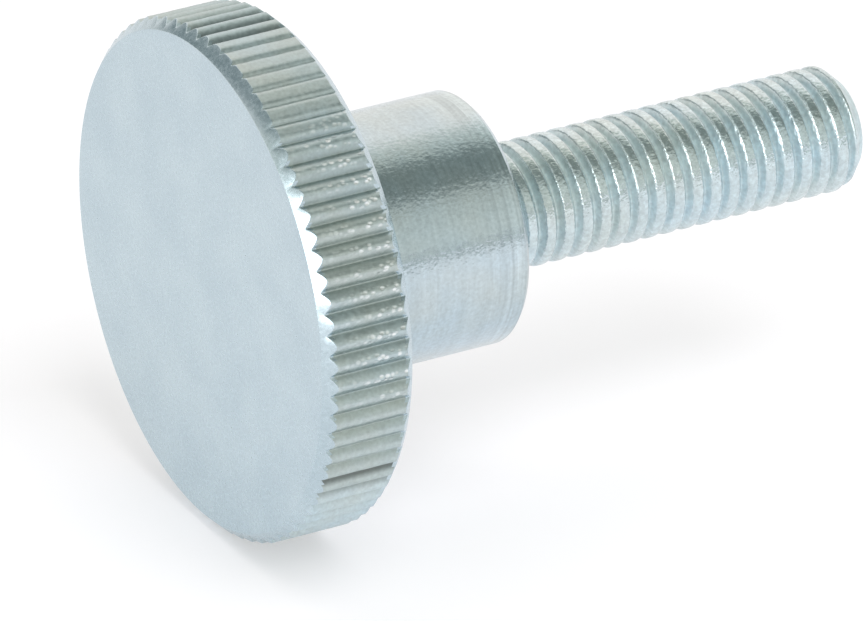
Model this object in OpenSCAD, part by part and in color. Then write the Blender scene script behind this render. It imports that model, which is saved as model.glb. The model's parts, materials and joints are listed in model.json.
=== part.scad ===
// Knurled thumb screw, high form: a round head with straight knurling,
// a plain collar under it, and a shank carrying an M5 thread.
// It stands on the face of its head, with +Z along the axis to the tip.
// The thread is shown as a plain cylinder at its outside diameter.

/* [Head] */
// Diameter of the head over the tips of the knurling
head_d = 20.2; // [19:0.1:24]
// Thickness of the head, with both its chamfers
head_t = 3.75; // [3.2:0.05:5]
// Chamfer round the face, across and along the axis
face_chamfer = 0.45; // [0.3:0.05:0.7]
// Chamfer round the back of the head, across and along the axis
back_chamfer = 0.4; // [0.3:0.05:0.7]

/* [Knurling] */
// Number of straight grooves round the head
knurl_count = 76; // [60:1:84]
// Depth of a groove below the tips
knurl_depth = 0.25; // [0.15:0.05:0.3]
// Angle between the two sides of a groove
knurl_angle = 90; // [80:1:100]

/* [Collar] */
// Diameter of the collar
collar_d = 9.8; // [8.5:0.1:12]
// Height of the head and collar together, face to seat
grip_h = 11.5; // [9:0.1:15]
// Radius of the fillet where the collar meets the head
collar_fillet = 0.3; // [0.2:0.05:0.6]
// Chamfer round the collar's seat
seat_chamfer = 0.2; // [0.1:0.05:0.4]

/* [Shank] */
// Outside diameter of the thread
thread_d = 4.9; // [3.9:0.1:5.9]
// Length of the shank from the seat to the tip
shank_len = 16.2; // [10:0.1:25]
// Chamfer at the tip
tip_chamfer = 0.6; // [0.3:0.05:0.8]

/* [Hidden] */
$fn = 180;
head_r = head_d / 2;
collar_r = collar_d / 2;
thread_r = thread_d / 2;
knurl_root_r = head_r - knurl_depth;
// The sides of neighbouring grooves meet outside the head, so the rim keeps lands
knurl_half_pitch = 180 / knurl_count;
knurl_meet_r = knurl_root_r * sin(knurl_angle / 2) / sin(knurl_angle / 2 - knurl_half_pitch);
// How far one form runs into the next, so that the two join as one
joint_lap = 1;

// Half section of the head: face, face chamfer, rim, back chamfer
module head_section() {
    polygon([
        [0, 0],
        [head_r - face_chamfer, 0],
        [head_r, face_chamfer],
        [head_r, head_t - back_chamfer],
        [head_r - back_chamfer, head_t],
        [0, head_t]
    ]);
}

// Outline of the knurling: V grooves, drawn on until their sides meet
module knurl_outline() {
    polygon([
        for (i = [0 : knurl_count - 1], tooth = [0, 1])
            let (
                a = (2 * i + tooth) * knurl_half_pitch,
                r = tooth == 0 ? knurl_root_r : knurl_meet_r
            )
            [r * cos(a), r * sin(a)]
    ]);
}

module head() {
    intersection() {
        rotate_extrude() head_section();
        linear_extrude(height = head_t) knurl_outline();
    }
}

// Ring of metal that fills the corner between the head and the collar
module collar_root() {
    rotate_extrude()
        difference() {
            translate([collar_r - joint_lap, head_t - joint_lap])
                square(joint_lap + collar_fillet);
            translate([collar_r + collar_fillet, head_t + collar_fillet])
                circle(r = collar_fillet);
        }
}

// A round bar from z = 0 to z = h, chamfered at its upper end
module chamfered_bar(r, h, chamfer) {
    rotate_extrude()
        polygon([[0, 0], [r, 0], [r, h - chamfer], [r - chamfer, h], [0, h]]);
}

module collar() {
    translate([0, 0, head_t - joint_lap])
        chamfered_bar(collar_r, grip_h - head_t + joint_lap, seat_chamfer);
}

module shank() {
    translate([0, 0, grip_h - joint_lap])
        chamfered_bar(thread_r, shank_len + joint_lap, tip_chamfer);
}

module thumb_screw() {
    color("silver")
        union() {
            head();
            collar_root();
            collar();
            shank();
        }
}

thumb_screw();
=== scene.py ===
"""Knurled thumb screw: the visual model, its plating, and the studio it is seen in."""

import json
import math

import bpy
from mathutils import Matrix, Vector, noise


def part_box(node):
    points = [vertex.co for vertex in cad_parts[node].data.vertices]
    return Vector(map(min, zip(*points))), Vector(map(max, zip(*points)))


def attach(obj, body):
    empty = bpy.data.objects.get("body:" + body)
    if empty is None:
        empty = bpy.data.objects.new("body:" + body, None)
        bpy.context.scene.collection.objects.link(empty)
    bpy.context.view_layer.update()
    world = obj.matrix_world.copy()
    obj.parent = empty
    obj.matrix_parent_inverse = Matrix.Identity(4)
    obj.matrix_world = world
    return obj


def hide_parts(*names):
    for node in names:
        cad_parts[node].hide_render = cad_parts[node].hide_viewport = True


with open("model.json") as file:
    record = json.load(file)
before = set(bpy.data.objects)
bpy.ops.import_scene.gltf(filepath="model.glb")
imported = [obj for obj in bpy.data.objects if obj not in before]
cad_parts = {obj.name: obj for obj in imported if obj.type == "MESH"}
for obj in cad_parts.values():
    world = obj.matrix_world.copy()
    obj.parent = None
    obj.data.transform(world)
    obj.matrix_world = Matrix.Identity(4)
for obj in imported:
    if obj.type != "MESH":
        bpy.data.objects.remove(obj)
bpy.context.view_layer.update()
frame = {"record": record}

NODE = "thumb_screw"
MM = 0.001
MOUNTS = {mount["name"]: mount for mount in frame["record"]["mounts"]}

# ---------------------------------------------------------------- sizes, in millimetres

BOX_LOW, BOX_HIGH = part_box(NODE)
HEAD_R = (BOX_HIGH[0] - BOX_LOW[0]) / 2 / MM
TIP_Z = BOX_HIGH[2] / MM
SEAT_Z = MOUNTS["seat"]["pos_m"][2] / MM
THREAD_R = MOUNTS["thread"]["dims"]["r_mm"]
TIP_CHAMFER = TIP_Z - SEAT_Z - MOUNTS["thread"]["dims"]["length_mm"]

HEAD_T = 3.75
FACE_CHAMFER = 0.45
BACK_CHAMFER = 0.4
COLLAR_R = 4.9
COLLAR_FILLET = 0.3
FILLET_STEPS = 5
SEAT_CHAMFER = 0.2
# Rounding of the other edges
EDGE_R = 0.07
EDGE_STEPS = 3

KNURL_COUNT = 76
KNURL_DEPTH = 0.25
# A ridge is a rounded lobe: 1 is a straight-sided tooth, and more is rounder and fuller
KNURL_LOBE = 1.7
# Rounding at the bottom of a groove, as a share of the pitch
KNURL_ROOT_ROUND = 0.03
# The knurling is faint on one stretch of the rim: where, and how far round, in degrees. Its
# grooves lose this share of their depth there, and their ridges are this much flatter
FAINT_AT = 230
FAINT_SPREAD = 15
FAINT_SHARE = 0.6
FAINT_FLATTER = 5
# Where the columns of a tooth stand, as shares of the pitch from the bottom of its groove
TOOTH_COLUMNS = (0, 0.04, 0.10, 0.19, 0.30, 0.40, 0.5, 0.60, 0.70, 0.81, 0.90, 0.96)
KNURL_ROWS = 22
# How far the knurling's surface wanders, and how fast, per mm
WEAR = 0.012
WEAR_RATE = 1.6

PITCH = 0.8
THREAD_DEPTH = 0.33
# Above 1 the crests of the thread are broad and its roots are narrow
THREAD_FULLNESS = 2.9
ROWS_PER_PITCH = 16
RUN_OUT = 0.5
TIP_ROUND = 0.05

# Everything but the knurling has fewer columns
PLAIN_COUNT = 2 * KNURL_COUNT
PLAIN_ANGLES = [2 * math.pi * i / PLAIN_COUNT for i in range(PLAIN_COUNT)]

# Rings beside the edges keep the shading of the flats even: how far they lie from an edge, a
# fillet or the shank. The plain columns start this far inside the rim, and the flats' own
# innermost rings have these radii
EDGE_MARGIN = 0.25
FILLET_MARGIN = 0.3
SHANK_MARGIN = 0.1
PLAIN_MARGIN = 0.6
FACE_HUB_R = 2
TIP_HUB_R = 0.5
# A point this far along a flat only shows which way the flat goes
ALONG = 1


# ---------------------------------------------------------------- shape of the screw


def smooth_positive(value, width):
    """value where it is above 0, 0 where it is below, rounded between over about width."""
    return 0.5 * (value + math.sqrt(value * value + width * width))


def wrapped(degrees):
    """The same angle, from -180 to 180."""
    return (degrees + 180) % 360 - 180


def faintness(degrees):
    """How faint the knurling is at an angle round the head, from 0 to 1."""
    off = wrapped(degrees - FAINT_AT)
    return math.exp(-((off / FAINT_SPREAD) ** 4))


def groove_depth(share, faint):
    """Depth of the knurling, in mm, at a share of the pitch from a groove's middle line."""
    off = min(share, 1 - share)
    off = math.hypot(off, KNURL_ROOT_ROUND) - KNURL_ROOT_ROUND
    lobe = abs(1 - 2 * off) ** (KNURL_LOBE + FAINT_FLATTER * faint)
    return KNURL_DEPTH * min(lobe, 1) * (1 - FAINT_SHARE * faint)


def thread_depth(share):
    """Depth of the thread, in mm, at a share of the pitch from a crest's middle line."""
    wave = 0.5 - 0.5 * math.cos(2 * math.pi * share)
    return THREAD_DEPTH * wave ** THREAD_FULLNESS


def knurl_columns():
    """(angle, depth of the knurling) of each column round the head."""
    columns = []
    for tooth in range(KNURL_COUNT):
        for share in TOOTH_COLUMNS:
            angle = 2 * math.pi * (tooth + share) / KNURL_COUNT
            depth = groove_depth(share, faintness(math.degrees(angle)))
            columns.append((angle, depth))
    return columns


def rounded_corner(before, corner, after, radius=EDGE_R, steps=EDGE_STEPS):
    """Points of an arc that rounds off a corner of the half section."""
    before, corner, after = Vector(before), Vector(corner), Vector(after)
    into, out = (corner - before).normalized(), (after - corner).normalized()
    turn = into.angle(out)
    reach = radius * math.tan(turn / 2)
    start, end = corner - into * reach, corner + out * reach
    points = []
    for i in range(steps + 1):
        t = i / steps
        points.append(start * (1 - t) ** 2 + corner * 2 * t * (1 - t) + end * t * t)
    return points


def head_section(groove):
    """Half section of the head, (radius, height) in mm, where the knurling is groove deep."""
    rim = HEAD_R - groove
    face_edge = HEAD_R - FACE_CHAMFER
    back_edge = HEAD_R - BACK_CHAMFER
    corners = [
        (face_edge - ALONG, 0),
        (face_edge, 0),
        (rim, FACE_CHAMFER - groove),
        (rim, HEAD_T - BACK_CHAMFER + groove),
        (back_edge, HEAD_T),
        (back_edge - ALONG, HEAD_T),
    ]
    face_arc, low_arc, high_arc, back_arc = [
        rounded_corner(*corners[i : i + 3]) for i in range(4)
    ]
    rows = [i / KNURL_ROWS for i in range(1, KNURL_ROWS)]
    return [
        Vector((face_edge - EDGE_MARGIN, 0)),
        *face_arc,
        *low_arc,
        *[low_arc[-1].lerp(high_arc[0], row) for row in rows],
        *high_arc,
        *back_arc,
        Vector((back_edge - EDGE_MARGIN, HEAD_T)),
    ]


def collar_section():
    """Half section from the back of the head to the shank, (radius, height) in mm."""
    wall_top = SEAT_Z - SEAT_CHAMFER
    seat_r = COLLAR_R - SEAT_CHAMFER
    root = [(COLLAR_R + ALONG, HEAD_T), (COLLAR_R, HEAD_T), (COLLAR_R, HEAD_T + ALONG)]
    end = [(COLLAR_R, HEAD_T), (COLLAR_R, wall_top), (seat_r, SEAT_Z), (THREAD_R, SEAT_Z)]
    return [
        Vector((COLLAR_R + COLLAR_FILLET + FILLET_MARGIN, HEAD_T)),
        *rounded_corner(*root, COLLAR_FILLET, FILLET_STEPS),
        Vector((COLLAR_R, HEAD_T + COLLAR_FILLET + FILLET_MARGIN)),
        Vector((COLLAR_R, wall_top - FILLET_MARGIN)),
        *rounded_corner(*end[0:3]),
        *rounded_corner(*end[1:4]),
        Vector((seat_r - EDGE_MARGIN, SEAT_Z)),
        Vector((THREAD_R + SHANK_MARGIN, SEAT_Z)),
    ]


def shank_radius(angle, z):
    """Radius of the threaded shank at an angle and a height, in mm."""
    share = ((z - SEAT_Z) / PITCH - angle / (2 * math.pi)) % 1
    started = min(max((z - SEAT_Z) / RUN_OUT, 0), 1)
    radius = THREAD_R - thread_depth(share) * started * started * (3 - 2 * started)
    chamfer = THREAD_R - smooth_positive(z - (TIP_Z - TIP_CHAMFER), TIP_ROUND)
    return min(radius, chamfer)


def turned(radius, angle, z):
    return radius * math.cos(angle), radius * math.sin(angle), z


def tooth_wear(angle, z):
    """How far the knurling's surface wanders from its true form, in mm."""
    place = Vector(turned(HEAD_R, angle, z)) * WEAR_RATE
    return WEAR * noise.noise(place)


class Skin:
    """The screw's surface as it grows, ring by ring, from the face of the head to the tip."""

    def __init__(self):
        self.verts = []
        self.faces = []

    def ring(self, points):
        """Adds a ring of points, given in mm, and returns the numbers of its vertices."""
        first = len(self.verts)
        self.verts += [(x * MM, y * MM, z * MM) for x, y, z in points]
        return list(range(first, len(self.verts)))

    def circle(self, radius, z):
        """Adds a round ring with the plain columns."""
        return self.ring([turned(radius, angle, z) for angle in PLAIN_ANGLES])

    def fan(self, middle, ring, faces_down):
        """Triangles between a ring and the point in its middle."""
        for i, here in enumerate(ring):
            after = ring[(i + 1) % len(ring)]
            self.faces.append((middle, after, here) if faces_down else (here, after, middle))

    def bridge(self, lower, upper):
        """Quads between two rings that have as many points each. Returns the upper one."""
        for i in range(len(lower)):
            j = (i + 1) % len(lower)
            self.faces.append((lower[i], lower[j], upper[j], upper[i]))
        return upper

    def bridge_coarse(self, fine, coarse, faces_down):
        """Faces between a ring and a coarser one inside it, on a flat."""
        step = len(fine) // len(coarse)
        for i in range(len(coarse)):
            run = [fine[(i * step + k) % len(fine)] for k in range(step + 1)]
            face = run + [coarse[(i + 1) % len(coarse)], coarse[i]]
            self.faces.append(tuple(reversed(face)) if faces_down else tuple(face))


def lay_face(skin):
    """The face, from its middle out to where the columns of the knurling start."""
    middle = skin.ring([(0, 0, 0)])[0]
    hub = skin.circle(FACE_HUB_R, 0)
    skin.fan(middle, hub, faces_down=True)
    return skin.bridge(hub, skin.circle(HEAD_R - FACE_CHAMFER - PLAIN_MARGIN, 0))


def lay_rim(skin, last):
    """The knurled rim with both its chamfers, and the edge of the head's back."""
    columns = knurl_columns()
    sections = [head_section(groove) for _, groove in columns]
    rows = len(sections[0])
    # The flat's ring and the arc between flat and chamfer come before the rim, and after it
    first = 1 + EDGE_STEPS + 1
    rings = []
    for row in range(rows):
        points = []
        for (angle, _), section in zip(columns, sections):
            radius, z = section[row]
            wear = tooth_wear(angle, z) if first <= row < rows - first else 0
            points.append(turned(min(radius + wear, HEAD_R), angle, z))
        rings.append(skin.ring(points))
    skin.bridge_coarse(rings[0], last, faces_down=True)
    for lower, upper in zip(rings, rings[1:]):
        skin.bridge(lower, upper)
    back = skin.circle(HEAD_R - BACK_CHAMFER - PLAIN_MARGIN, HEAD_T)
    skin.bridge_coarse(rings[-1], back, faces_down=False)
    return back


def lay_collar(skin, last):
    for radius, z in collar_section():
        last = skin.bridge(last, skin.circle(radius, z))
    return last


def lay_shank(skin, last):
    """The thread and the end of the tip."""
    rows = round((TIP_Z - SEAT_Z) / PITCH * ROWS_PER_PITCH)
    for row in range(rows + 1):
        z = SEAT_Z + (TIP_Z - SEAT_Z) * row / rows
        upper = skin.ring([turned(shank_radius(a, z), a, z) for a in PLAIN_ANGLES])
        last = skin.bridge(last, upper)
    for radius in (THREAD_R - TIP_CHAMFER - SHANK_MARGIN, TIP_HUB_R):
        last = skin.bridge(last, skin.circle(radius, TIP_Z))
    middle = skin.ring([(0, 0, TIP_Z)])[0]
    skin.fan(middle, last, faces_down=False)


def add_object(name, data):
    obj = bpy.data.objects.new(name, data)
    bpy.context.scene.collection.objects.link(obj)
    return obj


def build_screw():
    skin = Skin()
    last = lay_face(skin)
    last = lay_rim(skin, last)
    last = lay_collar(skin, last)
    lay_shank(skin, last)
    mesh = bpy.data.meshes.new("screw")
    mesh.from_pydata(skin.verts, [], skin.faces)
    mesh.validate()
    mesh.update()
    mesh.polygons.foreach_set("use_smooth", [True] * len(mesh.polygons))
    return add_object("screw", mesh)


# ---------------------------------------------------------------- node trees


class Graph:
    """A node tree, with short ways to add what the finishes and the studio are made of."""

    def __init__(self, tree, space=None):
        self.nodes = tree.nodes
        self.links = tree.links
        if space:
            self.place = self.add("ShaderNodeTexCoord").outputs[space]

    def add(self, kind, *values, inputs=None, **settings):
        """Adds a node, feeds its inputs in order or by name, and returns it."""
        node = self.nodes.new(kind)
        for name, value in settings.items():
            setattr(node, name, value)
        for socket, value in zip(node.inputs, values):
            self.feed(socket, value)
        for name, value in (inputs or {}).items():
            self.feed(node.inputs[name], value)
        return node

    def feed(self, socket, value):
        """Links an input to another node's output, or gives it a plain value."""
        if isinstance(value, bpy.types.NodeSocket):
            self.links.new(value, socket)
        elif socket.type == "RGBA":
            socket.default_value = (*value, 1)
        else:
            socket.default_value = value

    def calc(self, operation, *values):
        return self.add("ShaderNodeMath", *values, operation=operation).outputs[0]

    def remap(self, value, low, high, to_low=0, to_high=1, how="LINEAR"):
        """A range of a value, spread over another range and held at its ends."""
        ends = {"From Min": low, "From Max": high, "To Min": to_low, "To Max": to_high}
        node = self.add("ShaderNodeMapRange", value, inputs=ends, interpolation_type=how)
        return node.outputs[0]

    def blend(self, factor, first, second, how="MIX"):
        """A colour between two others, by a factor from 0 to 1."""
        node = self.add("ShaderNodeMix", factor, data_type="RGBA", blend_type=how)
        # The sockets for colours come after those for numbers and vectors
        self.feed(node.inputs[6], first)
        self.feed(node.inputs[7], second)
        return node.outputs[2]

    def scaled(self, scales):
        """The place, with each axis multiplied by its own scale."""
        return self.add("ShaderNodeMapping", self.place, inputs={"Scale": scales}).outputs[0]

    def noise(self, scales, detail):
        """Noise, whose scale is per metre along each axis."""
        inputs = {"Vector": self.scaled(scales), "Scale": 1.0, "Detail": detail}
        return self.add("ShaderNodeTexNoise", inputs=inputs).outputs["Fac"]

    def bump(self, height, strength, distance, under=None):
        """A normal with bumps, distance mm deep, which may lie on another normal."""
        inputs = {"Strength": strength, "Distance": distance * MM, "Height": height}
        if under is not None:
            inputs["Normal"] = under
        return self.add("ShaderNodeBump", inputs=inputs).outputs["Normal"]

    def along_axis(self):
        """The place's coordinate along the screw's axis."""
        return self.add("ShaderNodeSeparateXYZ", self.place).outputs["Z"]

    def from_axis(self):
        """The place's distance from the screw's axis."""
        flat = self.add("ShaderNodeVectorMath", self.place, (1, 1, 0), operation="MULTIPLY")
        length = self.add("ShaderNodeVectorMath", flat.outputs[0], operation="LENGTH")
        return length.outputs["Value"]

    def round_axis(self):
        """The place's angle round the screw's axis, in radians, from -pi to pi."""
        split = self.add("ShaderNodeSeparateXYZ", self.place)
        return self.calc("ARCTAN2", split.outputs["Y"], split.outputs["X"])

    def near_angle(self, angle, degrees, edges, inside=1, outside=0):
        """One value within the first edge of an angle, another beyond the second."""
        beyond = self.calc("SUBTRACT", angle, math.radians(wrapped(degrees)))
        off = self.calc("ABSOLUTE", beyond)
        inner, outer = (math.radians(edge) for edge in edges)
        return self.remap(off, inner, outer, inside, outside)


# ---------------------------------------------------------------- finishes

ZINC = (0.515, 0.615, 0.665)
ZINC_DULL = (0.475, 0.575, 0.63)
ZINC_WARM = (0.53, 0.60, 0.61)
# Noises: their scales per metre, and the span of values between which they do their work
CLOUDS = (350,) * 3
CLOUDS_SPAN = (0.35, 0.65)
GRAIN = (7000,) * 3
GRAIN_SPAN = (0.3, 0.7)
ROUGHNESS_SWING = 0.15

# The collar's rings, their swing in brightness, and how much stronger they get between two
# heights towards the seat
RINGS = (140, 140, 6500)
RING_SWING = 0.10
RING_STRENGTHS = (0.5, 1.6)
RINGS_FROM = SEAT_Z - 2.2
RINGS_TO = SEAT_Z - 0.8
COLLAR_TINT = (0.97, 0.97, 0.98)

# The knurling is painted darker in its grooves, as painted shade. Some grooves are darker
# still, each given by its number and the share of its brightness that it keeps, and one
# stretch of the rim is painted paler and bluer, as a painted reflection. Places are in
# degrees, and edges in degrees from there
GROOVE_PAINTED_SHADE = (0.74, 0.75, 0.71)
CREST_TINT = (0.91, 0.91, 0.88)
DARKER_GROOVES = ((43, 0.6), (44, 0.6), (45, 0.6), (69, 0.45), (70, 0.75))
DARKER_GROOVE_EDGES = (0.5, 1.5)
PALE_REFLECTION_AT = -7.5
PALE_REFLECTION_EDGES = (20, 22)
PALE_REFLECTION_TINT = (1.17, 1.18, 1.22)
# The stretch where the ridges are dented, and painted lighter in spots as painted highlights:
# its place round the rim, the depths below the rim and the heights over the face between
# which that sets in, in mm, and its share at the front
DENTS_AND_HIGHLIGHTS_AT = -85
DENTS_AND_HIGHLIGHTS_EDGES = (27, 34)
DENTS_AND_HIGHLIGHTS_DEPTHS = (0.10, 0.03)
DENTS_AND_HIGHLIGHTS_HEIGHTS = (0.8, 2.6)
DENTS_AND_HIGHLIGHTS_LEAST = 0.2
# The colour of the painted highlight spots
PAINTED_HIGHLIGHT_COLOUR = (0.85, 0.89, 0.90)
# The cells of the dents and of the painted highlight spots, per metre, and the distances from
# a cell's middle over which the painted highlights fade and the dents rise, as shares of a
# cell
SPOTS = (5000, 5000, 3900)
SPOTS_SPAN = (0.25, 0.5)
DENTS_SPAN = (0.05, 0.5)

# The thread is patchy all over. Its roots are rougher than its crests, and painted a little
# paler, as painted light against their shade
ROOT_PAINTED_LIGHT = (1.27, 1.27, 1.26)
THREAD_TINT = (1.11, 1.11, 1.10)
ROOT_ROUGHNESS = 0.60
THREAD_ROUGHNESS = 0.20
PATCHES = (3400,) * 3
PATCHES_SPAN = (0.38, 0.62)
PATCH_TINTS = (0.93, 1.04)
SCUFFS = (6500,) * 3

# How far below its full radius a crest still counts as one, in mm
CREST_MARGIN = 0.02
# The finishes, in the order of the screw's materials
SATIN, KNURLED, TURNED, THREADED = range(4)


class Finish(Graph):
    """The zinc plating: cloudy in patches, with the fine grain of the bath."""

    def __init__(self, name, grain, dull=ZINC_WARM):
        self.material = bpy.data.materials.new(name)
        self.material.use_nodes = True
        super().__init__(self.material.node_tree, "Object")
        self.shader = self.nodes["Principled BSDF"]
        self.set("Metallic", 1.0)
        clouds = self.noise(CLOUDS, 3.0)
        self.grain = self.noise(GRAIN, 3.0)
        self.set("Base Color", self.blend(self.remap(clouds, *CLOUDS_SPAN), ZINC, dull))
        self.tint(self.remap(self.grain, *GRAIN_SPAN, 1 - grain, 1 + grain))

    def set(self, name, value):
        self.feed(self.shader.inputs[name], value)

    def base(self):
        return self.shader.inputs["Base Color"].links[0].from_socket

    def tint(self, shade):
        """Multiplies the colour by another."""
        self.set("Base Color", self.blend(1.0, self.base(), shade, "MULTIPLY"))

    def roughen(self, middle):
        """A roughness that varies with the grain round a middle value."""
        low, high = middle * (1 - ROUGHNESS_SWING), middle * (1 + ROUGHNESS_SWING)
        self.set("Roughness", self.remap(self.grain, *GRAIN_SPAN, low, high))

    def crest_share(self, radius, outer, depth):
        """0 at the bottom of the grooves, 1 on the crests."""
        return self.remap(radius, (outer - depth) * MM, (outer - CREST_MARGIN) * MM)


def satin_zinc():
    """The faces and chamfers of the head."""
    zinc = Finish("satin_zinc", 0.06, ZINC_DULL)
    zinc.roughen(0.26)
    zinc.set("Normal", zinc.bump(zinc.grain, strength=0.6, distance=0.005))
    return zinc.material


def turned_zinc():
    """The collar, with the rings that the turning tool left, strongest by the seat."""
    zinc = Finish("turned_zinc", 0.08)
    zinc.roughen(0.17)
    rings = zinc.noise(RINGS, 3.0)
    height = zinc.along_axis()
    strength = zinc.remap(height, RINGS_FROM * MM, RINGS_TO * MM, *RING_STRENGTHS)
    swing = zinc.remap(rings, *GRAIN_SPAN, -RING_SWING, RING_SWING)
    zinc.tint(zinc.calc("ADD", zinc.calc("MULTIPLY", swing, strength), 1.0))
    zinc.tint(COLLAR_TINT)
    grained = zinc.bump(zinc.grain, strength=1.0, distance=0.016)
    zinc.set("Normal", zinc.bump(rings, strength=0.4, distance=0.01, under=grained))
    return zinc.material


def dents_and_highlights_mask(zinc, radius, angle):
    """Where ridges have dents and painted highlights: on their crests, most of all towards
    the back.
    """
    low, high = ((HEAD_R - depth) * MM for depth in DENTS_AND_HIGHLIGHTS_DEPTHS)
    crest = zinc.remap(radius, low, high)
    front, back = (height * MM for height in DENTS_AND_HIGHLIGHTS_HEIGHTS)
    behind = zinc.remap(zinc.along_axis(), front, back, DENTS_AND_HIGHLIGHTS_LEAST, 1)
    stretch = zinc.near_angle(angle, DENTS_AND_HIGHLIGHTS_AT, DENTS_AND_HIGHLIGHTS_EDGES)
    return zinc.calc("MULTIPLY", zinc.calc("MULTIPLY", crest, behind), stretch)


def knurled_zinc():
    """The rim: shade painted in its grooves, and dents with painted highlights on its ridges.
    """
    zinc = Finish("knurled_zinc", 0.10)
    zinc.roughen(0.40)
    radius = zinc.from_axis()
    angle = zinc.round_axis()
    crest = zinc.crest_share(radius, HEAD_R, KNURL_DEPTH)
    # Painted shade: darker towards the bottom of the grooves
    zinc.tint(zinc.blend(crest, GROOVE_PAINTED_SHADE, CREST_TINT))
    # Some single grooves are darker
    for number, kept in DARKER_GROOVES:
        zinc.tint(zinc.near_angle(angle, 360 * number / KNURL_COUNT, DARKER_GROOVE_EDGES, kept, 1))
    # Painted reflection: one stretch of the rim paler and bluer
    elsewhere = zinc.near_angle(angle, PALE_REFLECTION_AT, PALE_REFLECTION_EDGES, 0, 1)
    zinc.tint(zinc.blend(elsewhere, PALE_REFLECTION_TINT, (1, 1, 1)))
    where = dents_and_highlights_mask(zinc, radius, angle)
    cells = zinc.add("ShaderNodeTexVoronoi", zinc.scaled(SPOTS), inputs={"Scale": 1.0})
    distance = cells.outputs["Distance"]
    # Painted highlight: lighter spots on the crests of that stretch
    spots = zinc.calc("MULTIPLY", zinc.remap(distance, *SPOTS_SPAN, 1, 0), where)
    zinc.set("Base Color", zinc.blend(spots, zinc.base(), PAINTED_HIGHLIGHT_COLOUR))
    hollows = zinc.remap(distance, *DENTS_SPAN)
    grained = zinc.bump(zinc.grain, strength=0.7, distance=0.008)
    zinc.set("Normal", zinc.bump(hollows, strength=where, distance=0.05, under=grained))
    return zinc.material


def threaded_zinc():
    """The thread: patchy, smoother on its crests than in its roots."""
    zinc = Finish("threaded_zinc", 0.09)
    crest = zinc.crest_share(zinc.from_axis(), THREAD_R, THREAD_DEPTH)
    # Painted light: the roots paler than the crests, lifting their shade
    zinc.tint(zinc.blend(crest, ROOT_PAINTED_LIGHT, THREAD_TINT))
    zinc.tint(zinc.remap(zinc.noise(PATCHES, 3.0), *PATCHES_SPAN, *PATCH_TINTS))
    zinc.set("Roughness", zinc.remap(crest, 0, 1, ROOT_ROUGHNESS, THREAD_ROUGHNESS))
    grained = zinc.bump(zinc.grain, strength=0.6, distance=0.008)
    scuffs = zinc.noise(SCUFFS, 2.0)
    zinc.set("Normal", zinc.bump(scuffs, strength=1.0, distance=0.03, under=grained))
    return zinc.material


def finish_at(x, y, z):
    """The number of the finish at a place on the screw, given in mm."""
    slack = 0.01
    if z >= SEAT_Z + slack:
        return THREADED
    if z >= HEAD_T - slack:
        return TURNED
    on_rim = math.hypot(x, y) > HEAD_R - KNURL_DEPTH - 3 * slack
    between = FACE_CHAMFER < z < HEAD_T - BACK_CHAMFER
    return KNURLED if on_rim and between else SATIN


def paint_screw(screw):
    """Gives each stretch of the screw its own finish."""
    # In the order of SATIN, KNURLED, TURNED and THREADED
    for material in (satin_zinc(), knurled_zinc(), turned_zinc(), threaded_zinc()):
        screw.data.materials.append(material)
    for face in screw.data.polygons:
        face.material_index = finish_at(*(face.center / MM))


# ---------------------------------------------------------------- studio

# How the screw is seen: round its axis, up from level, and rolled, in degrees
VIEW_AZIMUTH = 0.5
VIEW_ELEVATION = -25.63
VIEW_ROLL = 75.93
AIM = Vector((3.12, 1.87, 10.02)) * MM
DISTANCE = 0.4533
LENS = 498.3
SENSOR = 36

# The table under the screw as the picture shows it: its slope to the line of sight, in
# degrees, and its clearance under the screw's lowest point
TABLE_TILT = 26.9
TABLE_GAP = 0.05 * MM
TABLE_R = 0.4
TABLE_COLOUR = (0.63, 0.62, 0.65)
TABLE_GLOW = 0.40

# The soft lamps, by the picture's directions
KEY_FROM = (0.284, 0.577, 0.766)
KEY_SIZE = (0.4, 0.4)
LEFT_FROM = (-0.58, -0.20, 0.79)
LEFT_SIZE = (0.48, 0.36)
LAMP_DISTANCE = 0.6

# The room that the metal reflects: its colours round the screw's axis, by degrees
RING_LIGHT = (
    (-180, (1.20, 1.13, 1.06)),
    (-168, (0.80, 0.81, 0.74)),
    (-156, (0.66, 0.69, 0.62)),
    (-132, (0.92, 0.94, 0.92)),
    (-108, (0.62, 0.64, 0.58)),
    (-72, (0.86, 0.88, 0.83)),
    (-66, (0.86, 0.88, 0.83)),
    (-60, (0.30, 0.33, 0.33)),
    (-54, (0.76, 0.81, 0.83)),
    (0, (0.74, 0.80, 0.83)),
    (60, (0.72, 0.78, 0.79)),
    (110, (1.12, 1.08, 1.03)),
    (165, (1.22, 1.15, 1.10)),
)
# The dark gap: its middle round the screw's axis, its inner and outer edges from there, in
# degrees, and the heights between which it fades in, as sines
GAP_AT = -132.5
GAP_EDGES = (14.5, 24)
GAP_FOOT = (-0.65, -0.35)
GAP_COLOUR = (0.24, 0.275, 0.25)
# The black flag: the way it stands and the way across it in the picture, the outer and inner
# edges of its soft sides, as sines, and how near to its own way it starts and is full, as
# cosines
FLAG_DIRECTION = (-0.8, 0.6, 0)
FLAG_ACROSS = (0.6, 0.8, 0)
FLAG_EDGES = (0.20, 0.10)
FLAG_FOOT = (0.68, 0.88)
FLAG_COLOUR = (0.26, 0.31, 0.31)


def view_axes():
    """The camera's own axes: right, up and back."""
    azimuth, elevation = math.radians(VIEW_AZIMUTH), math.radians(VIEW_ELEVATION)
    level_part = math.cos(elevation)
    x, y = math.sin(azimuth) * level_part, -math.cos(azimuth) * level_part
    back = Vector((x, y, math.sin(elevation)))
    level = (-back).to_track_quat("-Z", "Y").to_matrix()
    axes = level @ Matrix.Rotation(math.radians(VIEW_ROLL), 3, "Z")
    return axes.col[0], axes.col[1], axes.col[2]


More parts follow.
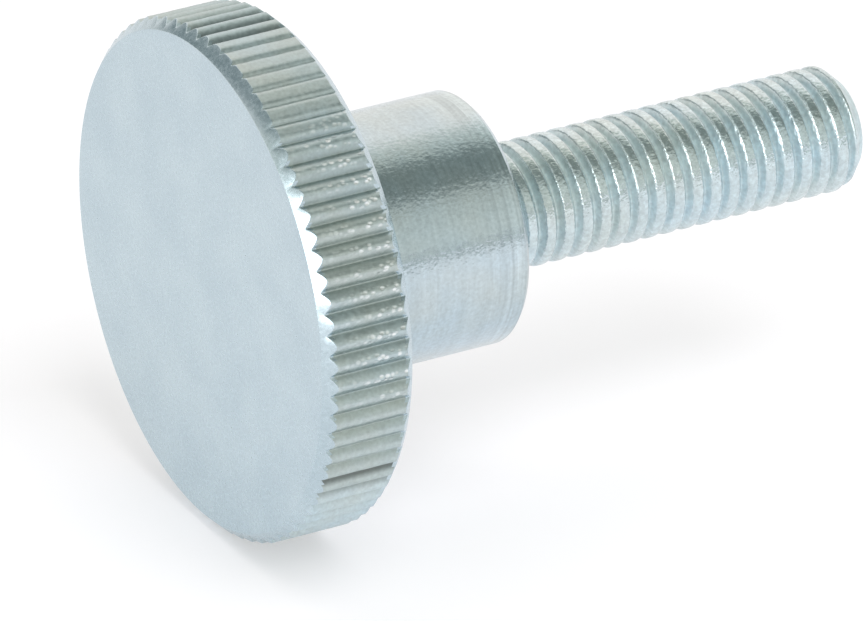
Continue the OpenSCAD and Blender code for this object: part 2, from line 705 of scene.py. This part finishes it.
def seen_direction(x, y, z):
    """A direction given as the picture has it: right, up and towards the camera."""
    right, up, back = view_axes()
    return (right * x + up * y + back * z).normalized()


def turned_to(direction):
    """Rotation whose Z axis points along direction, with its Y axis near the picture's up."""
    z = direction.normalized()
    x = seen_direction(0, 1, 0).cross(z).normalized()
    y = z.cross(x)
    return Matrix((x, y, z)).transposed()


def camera():
    data = bpy.data.cameras.new("camera")
    data.lens = LENS
    data.sensor_width = SENSOR
    data.clip_start = 0.01
    data.clip_end = 10
    cam = add_object("camera", data)
    right, up, back = view_axes()
    axes = Matrix((right, up, back)).transposed()
    cam.matrix_world = Matrix.Translation(AIM + back * DISTANCE) @ axes.to_4x4()
    bpy.context.scene.camera = cam


def table_paint():
    """Matt white that glows a little, and is clear from behind."""
    material = bpy.data.materials.new("white_table")
    material.use_nodes = True
    material.node_tree.nodes.clear()
    graph = Graph(material.node_tree)
    paint = graph.add("ShaderNodeBsdfDiffuse", TABLE_COLOUR)
    glow = graph.add("ShaderNodeEmission", inputs={"Strength": TABLE_GLOW})
    lit = graph.add("ShaderNodeAddShader", paint.outputs[0], glow.outputs[0])
    clear = graph.add("ShaderNodeBsdfTransparent")
    behind = graph.add("ShaderNodeNewGeometry").outputs["Backfacing"]
    sided = graph.add("ShaderNodeMixShader", behind, lit.outputs[0], clear.outputs[0])
    graph.add("ShaderNodeOutputMaterial", sided.outputs[0])
    return material


def table(screw):
    """The white table under the screw, in the pose of the picture, with its shadow."""
    tilt = math.radians(TABLE_TILT)
    normal = seen_direction(0, math.cos(tilt), math.sin(tilt))
    lowest = min((Vector(v.co) - AIM).dot(normal) for v in screw.data.vertices)
    centre = AIM + normal * (lowest - TABLE_GAP)
    axes = turned_to(normal)
    corners = [(-1, -1), (1, -1), (1, 1), (-1, 1)]
    verts = [centre + axes @ Vector((x * TABLE_R, y * TABLE_R, 0)) for x, y in corners]
    mesh = bpy.data.meshes.new("table")
    mesh.from_pydata(verts, [], [(0, 1, 2, 3)])
    mesh.materials.append(table_paint())
    obj = add_object("table", mesh)


def lamp(name, direction, size, power, glossy=True, diffuse=True):
    """A soft rectangular lamp that shines on the screw from a direction of the picture."""
    data = bpy.data.lights.new(name, "AREA")
    data.shape = "RECTANGLE"
    data.size, data.size_y = size
    data.energy = power
    obj = add_object(name, data)
    way = seen_direction(*direction)
    place = Matrix.Translation(AIM + way * LAMP_DISTANCE)
    obj.matrix_world = place @ turned_to(way).to_4x4()
    obj.visible_camera = False
    obj.visible_glossy = glossy
    obj.visible_diffuse = diffuse


def ring_of_light(room, angle):
    """The room's colour by the angle round the screw's axis."""
    ramp = room.add("ShaderNodeValToRGB", room.remap(angle, -math.pi, math.pi))
    elements = ramp.color_ramp.elements
    elements.remove(elements[-1])
    for i, (degrees, colour) in enumerate(RING_LIGHT):
        place = (degrees + 180) / 360
        element = elements[0] if i == 0 else elements.new(place)
        element.position = place
        element.color = (*colour, 1)
    return ramp.outputs[0]


def gap_mask(room, angle):
    """A dark gap between two panels, over the table."""
    in_gap = room.near_angle(angle, GAP_AT, GAP_EDGES)
    above = room.remap(room.along_axis(), *GAP_FOOT, how="SMOOTHSTEP")
    return room.calc("MULTIPLY", in_gap, above)


def facing(room, direction):
    """How squarely a ray looks along a direction of the picture, from -1 to 1."""
    way = seen_direction(*direction)
    node = room.add("ShaderNodeVectorMath", room.place, way, operation="DOT_PRODUCT")
    return node.outputs["Value"]


def flag_mask(room):
    """A tall black flag, up to the left of the table."""
    off = room.calc("ABSOLUTE", facing(room, FLAG_ACROSS))
    narrow = room.remap(off, *FLAG_EDGES, how="SMOOTHSTEP")
    near = room.remap(facing(room, FLAG_DIRECTION), *FLAG_FOOT, how="SMOOTHSTEP")
    return room.calc("MULTIPLY", narrow, near)


def studio_world():
    """Plain white to the camera, and a room with panels, a gap and a flag to all else."""
    world = bpy.data.worlds.new("studio")
    bpy.context.scene.world = world
    world.use_nodes = True
    world.node_tree.nodes.clear()
    room = Graph(world.node_tree, "Generated")
    angle = room.round_axis()
    colour = ring_of_light(room, angle)
    colour = room.blend(gap_mask(room, angle), colour, GAP_COLOUR)
    colour = room.blend(flag_mask(room), colour, FLAG_COLOUR)
    around = room.add("ShaderNodeBackground", colour)
    white = room.add("ShaderNodeBackground", (1, 1, 1))
    seen = room.add("ShaderNodeLightPath").outputs["Is Camera Ray"]
    mix = room.add("ShaderNodeMixShader", seen, around.outputs[0], white.outputs[0])
    room.add("ShaderNodeOutputWorld", mix.outputs[0])


screw = build_screw()
paint_screw(screw)
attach(screw, "root")
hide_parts(NODE)

camera()
table(screw)
studio_world()
lamp("shadow_lamp", KEY_FROM, KEY_SIZE, 1.9, glossy=False)
lamp("key_lamp", KEY_FROM, KEY_SIZE, 1.0, diffuse=False)
lamp("left_lamp", LEFT_FROM, LEFT_SIZE, 1.75, diffuse=False)
bpy.context.scene.view_settings.view_transform = "Standard"
